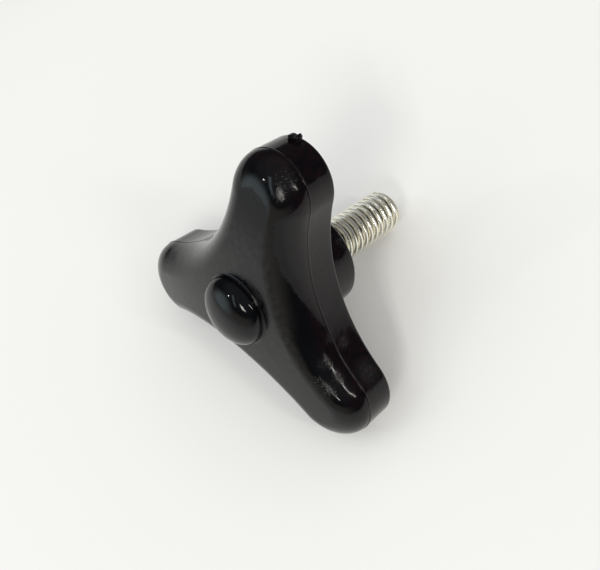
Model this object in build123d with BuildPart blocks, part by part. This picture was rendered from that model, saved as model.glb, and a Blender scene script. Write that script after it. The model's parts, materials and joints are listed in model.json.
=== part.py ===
from build123d import *
from math import asin, atan2, cos, degrees, hypot, pi, radians, sin, sqrt, tan
import os

# A thumb screw: a three-lobe moulded knob on a threaded steel stud, lying as it comes to rest
# on its two lower lobes and the tip of the stud. Millimetres, +Z up, the surface it lies on at Z = 0.

# Steel stud: a 5/16 inch bolt, threaded as far as the hub's end, its head moulded into the knob
thread_diameter = 7.94
stud_reach = 19.05
tip_chamfer = 1.0
shank_diameter = 7.0
hex_across_flats = 12.7
hex_height = 5.3
hex_seat_depth = 2.0
insert_clearance = 0.02

# Knob: plan of the three lobes at the mould's seam
lobe_centre_radius = 21.1
lobe_tip_radius = 6.9
waist_radius = 12.4

# Knob: section, measured forward from its flat back to the middle of its crowned front. The side
# walls run on past the front by the crown's stock before the crown is cut.
knob_depth = 12.0
crown_radius = 143.0
crown_stock = 1.0
seam_depth = 5.5
front_draft = 4.6
back_draft = 1.1
front_round = 3.1
back_round = 0.5

# Knob: the fine ridge that the mould's seam leaves round the side wall
seam_height = 0.12
seam_width = 0.3

# Dome over the hexagon head
dome_radius = 6.55
dome_height = 3.75
dome_side = 0.35
dome_edge_round = 2.4
dome_blend = 0.5

# Hub behind the knob
hub_radius = 8.8
hub_length = 7.4
hub_end_round = 0.5
hub_root_round = 1.0
thread_relief = 0.3

# Gate stub, torn off at the tip of the top lobe
gate_width = 2.2
gate_thickness = 1.4
gate_height = 0.8
gate_tear = 0.3
gate_offset = 1.2
gate_depth = 1.3

# How near two lengths are when they count as the same
same_length = 0.01

lobe_angles = [radians(angle) for angle in (90, 210, 330)]
stud_radius = thread_diameter / 2

# At rest a line that touches the rounded back rim of a lower lobe and the edge of the stud's
# chamfer lies on the surface. Both points are given by their distance below the stud's axis.
lobe_reach = lobe_centre_radius / 2 + lobe_tip_radius
rim_inset = seam_depth * tan(radians(back_draft)) + back_round * tan(radians(45 - back_draft / 2))
rim_drop = lobe_reach - rim_inset
tip_length = hub_length + stud_reach - tip_chamfer
rim_to_tip_drop = rim_drop - stud_radius
rim_to_tip_length = back_round + tip_length
rest_tilt = atan2(rim_to_tip_drop, rim_to_tip_length) + asin(
    back_round / hypot(rim_to_tip_drop, rim_to_tip_length)
)
back_height = stud_radius * cos(rest_tilt) + tip_length * sin(rest_tilt)

# The origin lies under the middle of the whole screw, from the lower lobes' round to the stud's end
round_drop = lobe_reach - front_round
round_radius = hypot(lobe_centre_radius * cos(pi / 6), round_drop)
crown_fall = crown_radius - sqrt(crown_radius**2 - round_radius**2)
round_length = knob_depth - crown_fall - front_round
front_inset = (round_length - seam_depth) * tan(radians(front_draft))
front_reach = (round_drop - front_inset) * sin(rest_tilt) + round_length * cos(rest_tilt) + front_round
end_reach = (hub_length + stud_reach) * cos(rest_tilt) + (stud_radius - tip_chamfer) * sin(rest_tilt)
back_setback = (front_reach - end_reach) / 2

# The knob's flat back, with X to the right, Y up the top lobe and Z forward through the dome
back = Plane(
    origin=(0, back_setback, back_height),
    x_dir=(1, 0, 0),
    z_dir=(0, -cos(rest_tilt), sin(rest_tilt)),
)
forward = Axis(back.origin, back.z_dir)


def on_circle(radius, angle):
    return Vector(radius * cos(angle), radius * sin(angle))


def rims_of(part, radius):
    """The part's edges that are whole circles of that radius round the stud's axis."""

    def is_rim(edge):
        centre = back.to_local_coords(edge.arc_center)
        return hypot(centre.X, centre.Y) < same_length and abs(edge.radius - radius) < same_length

    return part.edges().filter_by(GeomType.CIRCLE).filter_by(is_rim)


def lobed_plan(growth=0.0):
    """Three lobe tips joined by hollow waists, all tangent arcs, grown outward evenly."""
    tip_radius = lobe_tip_radius + growth
    taper = lobe_tip_radius - waist_radius
    hollow_distance = (lobe_centre_radius**2 - taper**2) / (lobe_centre_radius + 2 * taper)
    with BuildSketch() as plan:
        with BuildLine():
            for angle in lobe_angles:
                lobe = on_circle(lobe_centre_radius, angle)
                next_lobe = on_circle(lobe_centre_radius, angle + 2 * pi / 3)
                hollow_before = on_circle(hollow_distance, angle - pi / 3)
                hollow_after = on_circle(hollow_distance, angle + pi / 3)
                tip_start = lobe + (hollow_before - lobe).normalized() * tip_radius
                tip_end = lobe + (hollow_after - lobe).normalized() * tip_radius
                hollow_end = next_lobe + (hollow_after - next_lobe).normalized() * tip_radius
                ThreePointArc(tip_start, lobe + on_circle(tip_radius, angle), tip_end)
                ThreePointArc(tip_end, on_circle(waist_radius + growth, angle + pi / 3), hollow_end)
        make_face()
    return plan.sketch


# Stud: hexagon head, plain shank through the hub, then the threaded length with its chamfered tip
with BuildPart() as stud:
    with BuildSketch(back.offset(hex_seat_depth)):
        RegularPolygon(hex_across_flats / 2, 6, major_radius=False)
    extrude(amount=hex_height)
    with BuildSketch(back.offset(hex_seat_depth)):
        Circle(shank_diameter / 2)
    extrude(amount=-(hex_seat_depth + hub_length))
    with BuildSketch(back.offset(-hub_length)):
        Circle(stud_radius)
    extrude(amount=-stud_reach)
    chamfer(stud.edges().filter_by(GeomType.CIRCLE).sort_by(forward)[0], tip_chamfer)
stud.part.label = "threaded_stud"

# Knob: one moulding with its hub, dome, seam and gate stub, cast round the stud
with BuildPart() as knob:
    # Side walls, drafted both ways from the seam, with a crowned front and a full round at its edge
    with BuildSketch(back.offset(seam_depth)):
        add(lobed_plan())
    extrude(amount=knob_depth - seam_depth + crown_stock, taper=front_draft)
    with BuildSketch(back.offset(seam_depth)):
        add(lobed_plan())
    extrude(amount=-seam_depth, taper=back_draft)
    with Locations(back.offset(knob_depth - crown_radius)):
        Sphere(crown_radius, mode=Mode.INTERSECT)
    fillet(knob.faces().sort_by(forward)[-1].outer_wire().edges(), front_round)
    fillet(knob.faces().sort_by(forward)[0].outer_wire().edges(), back_round)

    # Seam
    with BuildSketch(back.offset(seam_depth - seam_width / 2)):
        add(lobed_plan(growth=seam_height))
    extrude(amount=seam_width)

    # Hub
    with BuildSketch(back):
        Circle(hub_radius)
    extrude(amount=-hub_length)
    hub_edges = rims_of(knob, hub_radius)
    fillet(hub_edges.sort_by(forward)[0], hub_end_round)
    fillet(hub_edges.sort_by(forward)[-1], hub_root_round)

    # Dome: an edge round between a short side and a cap, all tangent, with a blend onto the front
    blend_reach = dome_radius + dome_blend
    blend_level = sqrt(crown_radius**2 - blend_reach**2) - crown_radius
    edge_reach = dome_radius - dome_edge_round
    cap_height = dome_height - dome_side
    cap_radius = (edge_reach**2 + cap_height**2 - dome_edge_round**2) / (2 * (cap_height - dome_edge_round))
    cap_level = dome_height - cap_radius
    edge_turn = degrees(atan2(dome_side - cap_level, edge_reach))
    dome_sketch = Plane(origin=back.offset(knob_depth).origin, x_dir=back.x_dir, z_dir=-back.y_dir)
    with BuildSketch(dome_sketch):
        with BuildLine():
            CenterArc((0, cap_level), cap_radius, start_angle=edge_turn, arc_size=90 - edge_turn)
            CenterArc((edge_reach, dome_side), dome_edge_round, start_angle=0, arc_size=edge_turn)
            Line((dome_radius, dome_side), (dome_radius, blend_level + dome_blend))
            CenterArc((blend_reach, blend_level + dome_blend), dome_blend, start_angle=180, arc_size=90)
            Polyline((blend_reach, blend_level), (blend_reach, -dome_height), (0, -dome_height), (0, dome_height))
        make_face()
    revolve(axis=forward)

    # Gate stub, its torn top higher on one side
    gate_root = lobe_tip_radius * (1 - cos(asin(2 * gate_offset / lobe_tip_radius))) + gate_height
    gate_sketch = Plane(
        origin=back.from_local_coords((-gate_offset, lobe_centre_radius + lobe_tip_radius, gate_depth)),
        x_dir=back.x_dir,
        z_dir=-back.z_dir,
    )
    with BuildSketch(gate_sketch):
        with BuildLine():
            Polyline(
                (-gate_width / 2, gate_root),
                (-gate_width / 2, -gate_tear),
                (-gate_width / 4, -gate_height + gate_tear),
                (0, -gate_tear),
                (gate_width / 4, -gate_height),
                (gate_width / 2, -gate_height + gate_tear),
                (gate_width / 2, gate_root),
                close=True,
            )
        make_face()
    extrude(amount=gate_thickness / 2, both=True)

    # Seat of the stud, moulded round its hexagon head and shank, with a relief where the thread starts
    with BuildSketch(back.offset(hex_seat_depth - insert_clearance)):
        RegularPolygon(hex_across_flats / 2 + insert_clearance, 6, major_radius=False)
    extrude(amount=hex_height + 2 * insert_clearance, mode=Mode.SUBTRACT)
    with BuildSketch(back.offset(hex_seat_depth)):
        Circle(shank_diameter / 2 + insert_clearance)
    extrude(amount=-(hex_seat_depth + hub_length), mode=Mode.SUBTRACT)
    with BuildSketch(back.offset(-hub_length)):
        Circle(stud_radius + insert_clearance)
    extrude(amount=thread_relief, mode=Mode.SUBTRACT)
knob.part.label = "knob_head"

os.makedirs("parts", exist_ok=True)
export_step(stud.part, "parts/threaded_stud.step")
export_step(knob.part, "parts/knob_head.step")
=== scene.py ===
import json
import math

import bmesh
import bpy
import numpy as np
from mathutils import Matrix, Vector


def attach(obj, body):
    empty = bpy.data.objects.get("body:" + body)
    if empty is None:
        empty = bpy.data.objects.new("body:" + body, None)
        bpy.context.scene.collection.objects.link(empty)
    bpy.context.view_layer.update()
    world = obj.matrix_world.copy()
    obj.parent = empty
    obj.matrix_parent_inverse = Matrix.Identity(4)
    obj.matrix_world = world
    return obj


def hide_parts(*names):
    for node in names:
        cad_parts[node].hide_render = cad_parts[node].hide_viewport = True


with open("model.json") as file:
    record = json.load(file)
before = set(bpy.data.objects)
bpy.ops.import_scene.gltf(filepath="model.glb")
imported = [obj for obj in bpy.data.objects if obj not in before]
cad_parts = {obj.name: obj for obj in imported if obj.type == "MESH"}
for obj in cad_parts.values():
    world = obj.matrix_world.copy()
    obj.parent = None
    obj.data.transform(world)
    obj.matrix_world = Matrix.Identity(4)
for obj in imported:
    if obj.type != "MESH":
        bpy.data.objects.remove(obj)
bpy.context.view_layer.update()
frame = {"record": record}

# The stud is a steel bolt, bright zinc plated. Its tip is turned to a chamfer before the right-hand
# thread is rolled. The knob is moulded round its hexagon head and plain shank, so that it can't turn
# or pull out.
mm = 0.001
thread_pitch = 25.4 / 18
thread_radius = 3.97
root_radius = 3.22
crest_share = 0.3
flank_share = 0.54
spare_turns = 3
stud_reach = 19.05
tip_chamfer = 1.0
blank_spare = 1.0
shank_radius = 3.5
hex_apothem = 6.35
hex_from = 2.0
hex_to = 7.3
hex_top_round = 0.3
hex_top_share = 0.93
hub_length = 7.4
relief_depth = 0.3
seat_gap = 0.02
thread_from = -hub_length + relief_depth - seat_gap
stud_end = -hub_length - stud_reach

# Millimetres in the knob's own directions: across, up the top lobe, and forward from its flat back
stud_wall = next(mount for mount in frame["record"]["mounts"] if mount["name"] == "stud")
forward = -np.array(stud_wall["axis"])
across = np.array([1.0, 0.0, 0.0])
up = np.cross(forward, across)
wall_middle = hub_length + stud_wall["dims"]["length_mm"] / 2
back_centre = np.array(stud_wall["pos_m"]) + forward * wall_middle * mm
lean = math.atan2(up[2], up[1])


def place(points):
    """Points in the knob's own millimetres, put in the frame."""
    return back_centre + mm * (np.asarray(points) @ np.array([across, up, forward]))


def at_depth(plan, depth):
    return np.column_stack([plan, np.broadcast_to(depth, len(plan))])


def unit_circle(around=96):
    turns = 2 * math.pi * np.arange(around) / around
    return np.column_stack([np.cos(turns), np.sin(turns)])


def hexagon(directions, apothem):
    """A hexagon's outline along directions from its middle."""
    turn = np.arctan2(directions[:, 1], directions[:, 0]) % (math.pi / 3) - math.pi / 6
    return apothem * directions / np.cos(turn)[:, None]


def shade(mesh, sharp_angle=35):
    mesh.shade_smooth()
    mesh.set_sharp_from_angle(angle=math.radians(sharp_angle))


def new_piece(name, vertices, faces):
    mesh = bpy.data.meshes.new(name)
    mesh.from_pydata(np.asarray(vertices).tolist(), [], faces)
    shade(mesh)
    piece = bpy.data.objects.new(name, mesh)
    bpy.context.scene.collection.objects.link(piece)
    return piece


def skin(name, rings):
    """A closed mesh over rings of points from the front to the back, with a point at either end."""
    around = len(rings[0])
    vertices = np.vstack([rings[0].mean(axis=0), *rings, rings[-1].mean(axis=0)])
    faces = []
    for row in range(len(rings) - 1):
        first = 1 + row * around
        for k in range(around):
            after = (k + 1) % around
            faces.append((first + k, first + around + k, first + around + after, first + after))
    last = 1 + (len(rings) - 1) * around
    for k in range(around):
        after = (k + 1) % around
        faces.append((0, 1 + k, 1 + after))
        faces.append((last + k, last + around, last + after))
    return new_piece(name, place(vertices), faces)


def join_closed(main, other, operation, merge=0.002 * mm):
    """main joined to, or cut by, other, which is used up. Corners nearer than merge become one, and
    faces with more than four corners are split, so the meshes stay closed."""
    modifier = main.modifiers.new("join", "BOOLEAN")
    modifier.operation = operation
    modifier.solver = "MANIFOLD"
    modifier.object = other
    made = bpy.data.meshes.new_from_object(main.evaluated_get(bpy.context.evaluated_depsgraph_get()))
    main.modifiers.clear()
    main.data = made
    made.materials.clear()
    shape = bmesh.new()
    shape.from_mesh(made)
    bmesh.ops.remove_doubles(shape, verts=shape.verts, dist=merge)
    bmesh.ops.triangulate(shape, faces=[face for face in shape.faces if len(face.verts) > 4])
    shape.to_mesh(made)
    shape.free()
    shade(made)
    bpy.data.objects.remove(other)


def thread_section(steps=16):
    """Radius at even steps along one pitch: a flat crest, straight flanks and a flat root."""
    share = np.arange(steps) / steps
    from_root = np.abs(share - 0.5) * 2
    depth = np.clip((1 - from_root - crest_share) / flank_share, 0, 1)
    return thread_radius - (thread_radius - root_radius) * depth


def threaded_rod(around=96):
    """Vertices and faces of a rod whose thread runs past both ends of the stud."""
    section = thread_section()
    steps = len(section)
    rows = (math.ceil((thread_from - stud_end) / thread_pitch) + spare_turns) * steps
    start = thread_from + spare_turns / 2 * thread_pitch
    vertices = []
    for row in range(rows + 1):
        radius = section[row % steps]
        for k in range(around):
            turn = 2 * math.pi * k / around
            depth = start - thread_pitch * (row / steps + k / around)
            vertices.append((radius * math.cos(turn), radius * math.sin(turn), depth))
    faces = []
    for row in range(rows):
        for k in range(around - 1):
            first = row * around + k
            faces.append((first, first + around, first + around + 1, first + 1))
        if row + steps < rows:
            first = row * around + around - 1
            after = (row + steps) * around
            faces.append((first, first + around, after + around, after))
    return vertices, faces


def closed_thread():
    """The rod with its two open ends filled."""
    vertices, faces = threaded_rod()
    rod = new_piece("stud", place(vertices), faces)
    shape = bmesh.new()
    shape.from_mesh(rod.data)
    rims = [edge for edge in shape.edges if edge.is_boundary]
    bmesh.ops.holes_fill(shape, edges=rims, sides=0)
    bmesh.ops.recalc_face_normals(shape, faces=shape.faces)
    shape.to_mesh(rod.data)
    shape.free()
    return rod


def turned_blank():
    """The bar that bounds the thread: cut off at its start, and chamfered at the stud's end."""
    profile = [
        (thread_radius + blank_spare, thread_from),
        (thread_radius + blank_spare, stud_end + tip_chamfer + blank_spare),
        (thread_radius, stud_end + tip_chamfer),
        (thread_radius - tip_chamfer, stud_end),
    ]
    return skin("blank", [at_depth(radius * unit_circle(), depth) for radius, depth in profile])


def hexagon_head():
    """The head and shank in the moulding, from the head's top to inside the thread's start."""
    six_sides = hexagon(unit_circle(), hex_apothem)
    shank = shank_radius * unit_circle()
    rings = [
        at_depth(hex_top_share * six_sides, hex_to),
        at_depth(six_sides, hex_to - hex_top_round),
        at_depth(six_sides, hex_from),
        at_depth(shank, hex_from),
        at_depth(shank, thread_from - thread_pitch),
    ]
    return skin("hexagon_head", rings)


stud = closed_thread()
join_closed(stud, turned_blank(), "INTERSECT")
join_closed(stud, hexagon_head(), "UNION")


class Paint:
    """A socket of a shader. Sums on it add Math nodes, and node() adds any other node."""

    def __init__(self, tree, socket=None):
        self.tree = tree
        self.socket = socket

    def node(self, kind, settings=None, sockets=None, output=0):
        made = self.tree.nodes.new(kind)
        for name, value in (settings or {}).items():
            if name == "stops":
                ramp = made.color_ramp
                while len(ramp.elements) < len(value):
                    ramp.elements.new(1.0)
                for element, (position, colour) in zip(ramp.elements, value):
                    element.position = position
                    element.color = (*colour, 1.0)
            else:
                setattr(made, name, value)
        for name, value in (sockets or {}).items():
            if isinstance(value, Paint):
                self.tree.links.new(value.socket, made.inputs[name])
            else:
                made.inputs[name].default_value = value
        return Paint(self.tree, made.outputs[output])

    def math(self, operation, first, second):
        return self.node("ShaderNodeMath", {"operation": operation}, {0: first, 1: second})

    def __add__(self, other):
        return self.math("ADD", self, other)

    def __sub__(self, other):
        return self.math("SUBTRACT", self, other)

    def __rsub__(self, other):
        return self.math("SUBTRACT", other, self)

    def __mul__(self, other):
        return self.math("MULTIPLY", self, other)

    def __pow__(self, other):
        return self.math("POWER", self, other)

    __radd__ = __add__
    __rmul__ = __mul__

    def clipped(self):
        return self.node("ShaderNodeClamp", None, {"Value": self})

    def part(self, axis):
        return self.node("ShaderNodeSeparateXYZ", None, {"Vector": self}, axis)

    def rising(self, low, high):
        """0 below low, 1 above high, and smooth between."""
        sockets = {"Value": self, "From Min": low, "From Max": high}
        return self.node("ShaderNodeMapRange", {"interpolation_type": "SMOOTHSTEP"}, sockets)

    def near(self, spot, reach, core=0.2):
        """1 at a spot, falling to 0 at that reach. The core is the share of it that stays at 1."""
        away = self.node("ShaderNodeVectorMath", {"operation": "DISTANCE"}, {0: self, 1: spot}, "Value")
        return 1 - away.rising(core * reach, reach)

    def noise(self, scale, detail=2.0, roughness=0.5):
        sockets = {"Vector": self, "Scale": scale, "Detail": detail, "Roughness": roughness}
        return self.node("ShaderNodeTexNoise", None, sockets, "Fac")

    def streaks(self, turn, scale):
        """Fine broken lines, lying along the X axis of the turned surface."""
        sockets = {"Vector": self, "Rotation": turn, "Scale": (0.06, 1.0, 1.0)}
        drawn_out = self.node("ShaderNodeMapping", None, sockets)
        return drawn_out.noise(scale, 1.0).rising(0.66, 0.74)

    def between(self, first, second):
        """The first colour where this is 0, the second where it is 1, and their mix between."""
        colour_sockets, mixed_colour = (6, 7), 2
        sockets = {"Factor": self}
        for number, colour in zip(colour_sockets, (first, second)):
            sockets[number] = colour if isinstance(colour, Paint) else (*colour, 1.0)
        return self.node("ShaderNodeMix", {"data_type": "RGBA"}, sockets, mixed_colour)


def new_material(name, **even_values):
    """A material, its shader with its even values set, and its surface in the knob's own millimetres."""
    material = bpy.data.materials.new(name)
    material.use_nodes = True
    shader = material.node_tree.nodes["Principled BSDF"]
    for socket, value in even_values.items():
        shader.inputs[socket.replace("_", " ")].default_value = value
    start = Paint(material.node_tree)
    here = start.node("ShaderNodeTexCoord", None, None, "Object")
    along_knob = start.node(
        "ShaderNodeMapping",
        {"vector_type": "TEXTURE"},
        {"Vector": here, "Location": tuple(back_centre), "Rotation": (lean, 0, 0), "Scale": (mm, mm, mm)},
    )
    return material, shader, along_knob


def feed(shader, **sockets):
    for name, paint in sockets.items():
        paint.tree.links.new(paint.socket, shader.inputs[name.replace("_", " ")])


# Zinc plate: bright where it is rubbed, straw where it is thin, and painted shade darkening the roots
# of the thread. The turned tip has no painted root shade.
# The first colour is painted shade for the roots of the thread.
root_shade_colour = (0.05, 0.045, 0.035)
straw_zinc = (0.93, 0.84, 0.6)
rubbed_zinc = (1.0, 0.98, 0.88)
unshaded_tip = 0.6
root_shade_reach = 0.3
root_shade_fade = 0.55
zinc_relief = 0.019 * mm

zinc_plate, shader, at = new_material("bright_zinc_plate", Metallic=0.8)
from_axis = (at.part("X") ** 2 + at.part("Y") ** 2) ** 0.5
threaded = at.part("Z").rising(stud_end + unshaded_tip, stud_end + tip_chamfer)
cloud = at.noise(0.5, 3.0)
grain = at.noise(7.5, 3.0, 0.65)
wave = 0.4 * at.noise(0.7, 1.0)
# Painted shade: the colour darkens towards the roots of the thread, where shade falls.
painted_root_shade = threaded * (1 - (from_axis + wave).rising(root_radius + root_shade_reach, root_radius + root_shade_fade))
plating_and_root_shade = (1 - painted_root_shade) * (0.65 + 0.7 * grain)
feed(
    shader,
    Base_Color=at.node(
        "ShaderNodeValToRGB",
        {"stops": [(0.0, root_shade_colour), (0.5, straw_zinc), (0.9, rubbed_zinc)]},
        {"Fac": plating_and_root_shade * (0.55 + 0.65 * cloud)},
        "Color",
    ),
    Roughness=0.14 + 0.14 * grain,
    Normal=at.node("ShaderNodeBump", None, {"Strength": 1.0, "Distance": zinc_relief, "Height": grain}),
)
stud.data.materials.append(zinc_plate)
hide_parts("threaded_stud")
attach(stud, "root")

# The knob is one moulding in glossy black plastic: three lobes with a crowned front, a dome over
# the head of the stud, and a hub behind. The mould closed at the seam round its side wall and fed
# it at the tip of the top lobe, where the gate was torn off.
lobe_centre_radius = 21.1
lobe_tip_radius = 6.9
waist_radius = 12.4
knob_depth = 12.0
crown_radius = 143.0
lobe_directions = [math.radians(degrees) for degrees in (90, 210, 330)]
dome_radius = 6.15
dome_height = 3.7
dome_side = 0.35
dome_blend = 0.4
dome_fullness = 2.1
edge_reach = 4.2
edge_fullness = 2.0
seam_depth = 5.5
seam_height = 0.12
seam_half_width = 0.16
seam_wander = 0.09
seam_unevenness = 0.35
back_draft = math.radians(1.1)
back_round = 0.5
hub_radius = 8.8
hub_root_round = 1.0
hub_end_round = 0.5
hub_face_radii = (7.0, 5.5)
relief_radius = thread_radius + seat_gap
shank_seat_radius = shank_radius + seat_gap
hex_seat_apothem = hex_apothem + seat_gap
hex_seat_from = hex_from - seat_gap
hex_seat_to = hex_to + seat_gap


def toward(angle):
    return np.array([math.cos(angle), math.sin(angle)])


def lobed_outline(tip_steps=60, hollow_steps=78):
    """Points of the three-lobed plan at the seam and their outward directions, all round."""
    taper = lobe_tip_radius - waist_radius
    hollow_distance = (lobe_centre_radius**2 - taper**2) / (lobe_centre_radius + 2 * taper)
    reach = hollow_distance * toward(math.pi / 3) - lobe_centre_radius * toward(0)
    half_tip = math.atan2(reach[1], reach[0])
    points, outward = [], []
    for lobe in lobe_directions:
        for turn in np.linspace(-half_tip, half_tip, tip_steps, endpoint=False):
            outward.append(toward(lobe + turn))
            points.append(lobe_centre_radius * toward(lobe) + lobe_tip_radius * outward[-1])
        hollow_centre = hollow_distance * toward(lobe + math.pi / 3)
        for turn in np.linspace(half_tip, 2 * math.pi / 3 - half_tip, hollow_steps, endpoint=False):
            outward.append(toward(lobe + turn))
            points.append(hollow_centre - (hollow_distance - waist_radius) * outward[-1])
    return np.array(points), np.array(outward)


outline, outward = lobed_outline()
rays = outline / np.linalg.norm(outline, axis=1)[:, None]


def lobed_ring(inset, depth):
    """The outline drawn in by inset, at that depth. Either may differ from point to point."""
    return at_depth(outline - np.reshape(inset, (-1, 1)) * outward, depth)


def round_ring(radius, depth):
    return at_depth(radius * rays, depth)


def crown(plan):
    """How far forward the crowned front stands over a point of the plan."""
    return knob_depth - crown_radius + np.sqrt(crown_radius**2 - (plan**2).sum(axis=1))


def wander(seed, slowest=3, waves=14):
    """A smooth random swing between -1 and 1 round the outline, which closes on itself."""
    random = np.random.default_rng(seed)
    around = 2 * math.pi * np.arange(len(outline)) / len(outline)
    swing = 0
    for count in range(slowest, slowest + waves):
        swing = swing + random.uniform(0.3, 1) * np.sin(count * around + random.uniform(0, 2 * math.pi))
    return swing / np.abs(swing).max()


def even_steps(first, last, count):
    """Even steps from first to last, without first itself."""
    return np.linspace(first, last, count + 1)[1:]


quarter_turn = math.pi / 2
dome_rows = 25
front_rows = 27
edge_rows = 25
wall_rows = 7
back_rows = 8
hub_rows = 4
round_rows = 6

# Dome, from its middle down to its short side
knob_rings = []
for turn in even_steps(0, quarter_turn, dome_rows):
    radius = dome_radius * math.sin(turn) ** (2 / dome_fullness)
    height = dome_side + (dome_height - dome_side) * math.cos(turn) ** (2 / dome_fullness)
    knob_rings.append(round_ring(radius, knob_depth + height))

# Blend of the dome's side onto the front
blend_reach = dome_radius + dome_blend
blend_level = crown(blend_reach * rays)
for turn in np.linspace(0, quarter_turn, round_rows + 1):
    radius = blend_reach - dome_blend * math.cos(turn)
    knob_rings.append(round_ring(radius, blend_level + dome_blend * (1 - math.sin(turn))))

# Crowned front, and its round edge down to the seam
for share in even_steps(0, 1, front_rows):
    plan = (1 - share) * blend_reach * rays + share * (outline - edge_reach * outward)
    knob_rings.append(at_depth(plan, crown(plan)))
seam_line = seam_depth + seam_wander * wander(seed=3)
seam_ridge = seam_height * (1 - seam_unevenness * (1 - wander(seed=5)))
edge_root = seam_line + seam_half_width
for turn in even_steps(quarter_turn, 0, edge_rows):
    plan = outline - edge_reach * (1 - math.cos(turn) ** (2 / edge_fullness)) * outward
    share = math.sin(turn) ** (2 / edge_fullness)
    knob_rings.append(at_depth(plan, edge_root + (crown(plan) - edge_root) * share))

# Seam, a fine uneven ridge
for turn in even_steps(0, math.pi, round_rows):
    knob_rings.append(lobed_ring(-seam_ridge * math.sin(turn), seam_line + seam_half_width * math.cos(turn)))

# Drafted wall behind the seam, the back's rim, and the flat back
back_inset = (seam_depth - back_round) * math.tan(back_draft)
wall_root = seam_line - seam_half_width
for share in even_steps(0, 1, wall_rows):
    knob_rings.append(lobed_ring(share * back_inset, wall_root + share * (back_round - wall_root)))
for turn in even_steps(0, quarter_turn, round_rows):
    inset = back_inset + back_round * (1 - math.cos(turn))
    knob_rings.append(lobed_ring(inset, back_round * (1 - math.sin(turn))))
root_reach = hub_radius + hub_root_round
for share in even_steps(0, 1, back_rows):
    plan = share * root_reach * rays + (1 - share) * (outline - (back_inset + back_round) * outward)
    knob_rings.append(at_depth(plan, 0))

# Hub, from the round at its root to its flat end
for turn in even_steps(0, quarter_turn, round_rows):
    radius = root_reach - hub_root_round * math.sin(turn)
    knob_rings.append(round_ring(radius, hub_root_round * (math.cos(turn) - 1)))
hub_side = hub_length - hub_root_round - hub_end_round
for share in even_steps(0, 1, hub_rows):
    knob_rings.append(round_ring(hub_radius, -hub_root_round - share * hub_side))
for turn in even_steps(0, quarter_turn, round_rows):
    radius = hub_radius - hub_end_round * (1 - math.cos(turn))
    knob_rings.append(round_ring(radius, -hub_length + hub_end_round * (1 - math.sin(turn))))
for radius in hub_face_radii:
    knob_rings.append(round_ring(radius, -hub_length))

# Seat of the stud, with a relief where its thread starts
knob_rings.append(round_ring(relief_radius, -hub_length))
knob_rings.append(round_ring(relief_radius, relief_depth - hub_length))
knob_rings.append(round_ring(shank_seat_radius, relief_depth - hub_length))
knob_rings.append(round_ring(shank_seat_radius, hex_seat_from))
knob_rings.append(at_depth(hexagon(rays, hex_seat_apothem), hex_seat_from))
knob_rings.append(at_depth(hexagon(rays, hex_seat_apothem), hex_seat_to))
knob = skin("knob", knob_rings)

# Gate stub: a crumbled block, torn off higher on its right
gate_half_size = (1.1, 0.7)
gate_middle = (-1.2, 1.3)
gate_sunk = 0.9
gate_corner_power = 0.55
torn_across = (-1.1, -0.55, 0.0, 0.55, 1.1)
torn_height = (0.3, 0.5, 0.45, 1.15, 1.1)
torn_top_shares = (0.25, 0.55, 0.8, 0.94, 1.0)
torn_rim_drop = 0.35
torn_rim_power = 8
crumbled_top = (0.92, 1.0)
crumbled_side = (0.93, 1.0)


def torn_gate(around=48, rows=9):
    """The stub's rings from its torn top down into the lobe's tip."""
    random = np.random.default_rng(11)
    circle = unit_circle(around)
    block = np.sign(circle) * np.abs(circle) ** gate_corner_power
    rings = []
    for share in torn_top_shares:
        width, depth = (share * block * gate_half_size).T
        crumble = random.uniform(*crumbled_top, around)
        rim = 1 - torn_rim_drop * share**torn_rim_power
        top = np.interp(width, torn_across, torn_height) * crumble * rim
        rings.append((width, depth, top))
    for level in even_steps(0, 1, rows):
        crumble = random.uniform(*crumbled_side, (around, 1))
        width, depth = (block * gate_half_size * crumble).T
        rings.append((width, depth, (1 - level) * top - level * gate_sunk))
    tip_reach = lobe_centre_radius + lobe_tip_radius
    return [
        np.column_stack([gate_middle[0] + width, tip_reach + height, gate_middle[1] - depth])
        for width, depth, height in rings
    ]


join_closed(knob, skin("gate_stub", torn_gate()), "UNION")

# Rubbed and scratched places: where on the knob, how far the wear reaches, and how strong it is
worn_places = [
    ((19.1, -4.7, 10.1), 2.2, 0.9),
    ((19.1, -3.1, 7.6), 1.6, 0.9),
    ((16.0, -0.5, 3.9), 1.6, 0.8),
    ((21.1, -4.3, 2.5), 2.4, 0.5),
    ((3.4, 26.7, 7.9), 2.4, 0.8),
    ((3.9, 24.7, 9.5), 1.6, 0.8),
    ((-20.0, -4.3, 9.1), 2.0, 0.6),
    ((4.8, 7.3, -6.8), 2.0, 0.8),
    ((0.0, 27.9, 1.7), 1.3, 0.5),
    ((6.4, 1.0, 12.7), 1.4, 0.8),
    ((16.6, -1.4, 8.6), 1.8, 0.8),
    ((17.0, -4.2, 10.8), 1.8, 0.7),
    ((14.4, 0.6, 5.8), 1.6, 0.6),
    ((-12.0, 1.5, 8.6), 2.6, 0.5),
]
# Painted reflection: a soft grey patch on the side wall of the lower right lobe, where a flat stretch
# mirrored the floor
painted_reflection_spot = (21.0, -4.2, 2.7)
painted_reflection_reach = 3.4

# Black plastic: a duller, mottled front, a purple tint on the wall, grey scuffs where worn, and a painted
# reflection on one wall
jet_black = (0.0014, 0.0015, 0.002)
purple_tint = (0.0065, 0.002, 0.003)
scuff_and_reflection_grey = (0.062, 0.061, 0.058)
polish = 0.04
plastic_relief = 0.03 * mm
front_starts = (10.3, 11.5)
dome_ends = (6.2, 7.4)
wall_ends = (6.5, 9.5)

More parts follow.
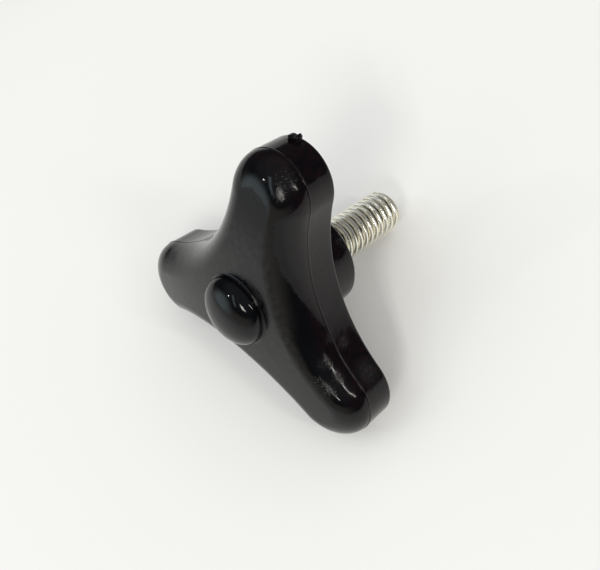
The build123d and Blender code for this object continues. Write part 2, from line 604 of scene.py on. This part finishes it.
black_plastic, shader, at = new_material("moulded_black_plastic", IOR=1.36)
depth = at.part("Z")
from_middle_line = (at.part("X") ** 2 + at.part("Y") ** 2) ** 0.5
front = depth.rising(*front_starts) * from_middle_line.rising(*dome_ends)
wall = 1 - depth.rising(*wall_ends)
cloud = at.noise(0.12, 3.0)
grain = at.noise(3.5, 2.0)
orange_peel = at.noise(0.5, 2.0)
pits = at.noise(4.5, 1.0).rising(0.66, 0.72)
mottle = at.noise(0.9, 3.0, 0.6).rising(0.3, 0.7)
sparkle = at.noise(7.0, 2.0, 0.7)
worn = sum(at.near(spot, reach) * amount for spot, reach, amount in worn_places)
scratches = at.streaks((0.2, 0.1, 0.9), 7.0) + at.streaks((1.1, 0.6, 0.2), 6.0)
scuffs = worn * (scratches + pits).clipped()
# The painted grey reflection is mixed into the colour along with the scuffs and the mottle.
painted_reflection = 0.12 * at.near(painted_reflection_spot, painted_reflection_reach)
haze_and_painted_reflection = (0.13 * front * mottle + 0.9 * scuffs + 0.03 * worn + painted_reflection).clipped()
front_dullness = front * (0.11 + 0.12 * mottle)
wall_dullness = wall * (0.03 + 0.06 * mottle)
relief = orange_peel + 0.05 * grain + worn * sparkle - 0.5 * scuffs
feed(
    shader,
    Base_Color=haze_and_painted_reflection.between((wall * mottle).between(jet_black, purple_tint), scuff_and_reflection_grey),
    Roughness=(polish + front_dullness + wall_dullness + 0.05 * cloud + 0.3 * scuffs).clipped(),
    Normal=at.node("ShaderNodeBump", None, {"Strength": 1.0, "Distance": plastic_relief, "Height": relief}),
)
knob.data.materials.append(black_plastic)
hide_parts("knob_head")
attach(knob, "root")

# The floor is a plain sheet of matt white board, larger than the view. It greys a little where it
# is far from the screw, as the light falls off.
floor_half = 1.5
near_board = (0.83, 0.83, 0.815)
far_board = (0.62, 0.62, 0.61)
greying = (85, 230)
floor = new_piece(
    "floor",
    [(x * floor_half, y * floor_half, 0) for x, y in ((-1, -1), (1, -1), (1, 1), (-1, 1))],
    [(0, 1, 2, 3)],
)
white_board, shader, at = new_material("white_board", Roughness=0.7)
away = (at.part("X") ** 2 + at.part("Z") ** 2) ** 0.5
greyed = away.rising(*greying) + 0.04 * at.noise(0.02, 2.0)
feed(shader, Base_Color=greyed.between(near_board, far_board))
floor.data.materials.append(white_board)

# A broad ceiling light stands up on the left, and two narrow lamps in front throw the long faint
# shadow behind the knob. The window, the far lamp and the small spot give the plastic its glints.
middle = Vector((0, 0, 0.015))


def from_middle(azimuth, elevation, distance):
    """A place seen from the screw. Azimuth 0 is in front, and 90 on the right."""
    level = distance * math.cos(math.radians(elevation))
    turn = math.radians(azimuth)
    rise = distance * math.sin(math.radians(elevation))
    return middle + Vector((level * math.sin(turn), -level * math.cos(turn), rise))


# Name, azimuth, elevation, distance, width, height, twist, power, colour, and if it shows mirrored
lamps = [
    ("front_lamp_left", 25, 46, 2.6, 0.14, 0.8, 35, 8.0, (1.0, 0.97, 0.9), True),
    ("front_lamp_right", 34, 44, 2.6, 0.14, 0.8, 35, 8.0, (1.0, 0.97, 0.9), True),
    ("ceiling", -45, 60, 2.6, 1.4, 1.6, 0, 11.0, (0.9, 0.97, 1.0), False),
    ("window", -14, 47, 2.6, 0.3, 1.5, 35, 2.2, (0.75, 0.93, 1.0), True),
    ("far_lamp", 103, 40, 2.6, 0.07, 0.8, 10, 6.5, (1.0, 0.97, 0.9), True),
    ("spot", -33, 42, 2.4, 0.06, 0.06, 0, 1.5, (1.0, 1.0, 1.0), True),
]
for name, azimuth, elevation, distance, width, height, twist, power, colour, mirrored in lamps:
    light = bpy.data.lights.new(name, "AREA")
    light.shape = "RECTANGLE"
    light.size = width
    light.size_y = height
    light.energy = power
    light.color = colour
    lamp = bpy.data.objects.new(name, light)
    lamp.visible_glossy = mirrored
    lamp_place = from_middle(azimuth, elevation, distance)
    facing = (middle - lamp_place).to_track_quat("-Z", "Y").to_matrix()
    facing = facing @ Matrix.Rotation(math.radians(twist), 3, "Z")
    lamp.matrix_world = Matrix.Translation(lamp_place) @ facing.to_4x4()
    bpy.context.scene.collection.objects.link(lamp)

# The room lights the screw evenly, and shows dimmer in its gloss: a paler ceiling, warm light low
# in front, and two soft glows, the window's low on the left and that of the two front lamps.
room_light = (0.76, 0.755, 0.745)
room_wall = (0.07, 0.075, 0.085)
room_ceiling = (0.27, 0.28, 0.29)
warm_front = (0.62, 0.58, 0.49)
low_ends = (0.2, 0.42)
ceiling_starts = (0.35, 0.9)
facing_front = (0.2, 0.9)
soft_glows = [
    ((-0.55, -0.8, 0.2), 0.5, (1.3, 1.55, 1.65)),
    ((0.35, -0.61, 0.71), 0.15, (3.0, 2.9, 2.7)),
]
room = bpy.data.worlds.new("room")
room.use_nodes = True
air = Paint(room.node_tree)
direction = air.node("ShaderNodeTexCoord", None, None, "Generated")
in_gloss = air.node("ShaderNodeLightPath", None, None, "Is Glossy Ray")
rise = direction.part("Z")
low_in_front = (1 - rise.rising(*low_ends)) * (direction.part("Y") * -1).rising(*facing_front)
wall_and_ceiling = rise.rising(*ceiling_starts).between(room_wall, room_ceiling)
seen_room = low_in_front.between(wall_and_ceiling, warm_front)
for glow_direction, spread, colour in soft_glows:
    seen_room = direction.near(glow_direction, spread).between(seen_room, colour)
feed(room.node_tree.nodes["Background"], Color=in_gloss.between(room_light, seen_room))
bpy.context.scene.world = room
bpy.context.scene.view_settings.view_transform = "Standard"

# The camera looks down from the front right, turned a little on its own axis.
aim = Vector((-4.204, -1.819, 0.0)) * mm
camera_distance = 155.06 * mm
camera_azimuth = math.radians(68.25)
camera_elevation = math.radians(63.07)
camera_roll = math.radians(-28.73)
lens = bpy.data.cameras.new("camera")
lens.sensor_width = 36.0
lens.lens = 49.40
lens.clip_start = 0.005
lens.clip_end = 20.0
camera = bpy.data.objects.new("camera", lens)
downward = Matrix.Rotation(math.pi / 2 - camera_elevation, 3, "X")
camera_turn = Matrix.Rotation(camera_azimuth, 3, "Z") @ downward @ Matrix.Rotation(camera_roll, 3, "Z")
camera_place = aim + camera_turn @ Vector((0, 0, camera_distance))
camera.matrix_world = Matrix.Translation(camera_place) @ camera_turn.to_4x4()
bpy.context.scene.collection.objects.link(camera)
bpy.context.scene.camera = camera
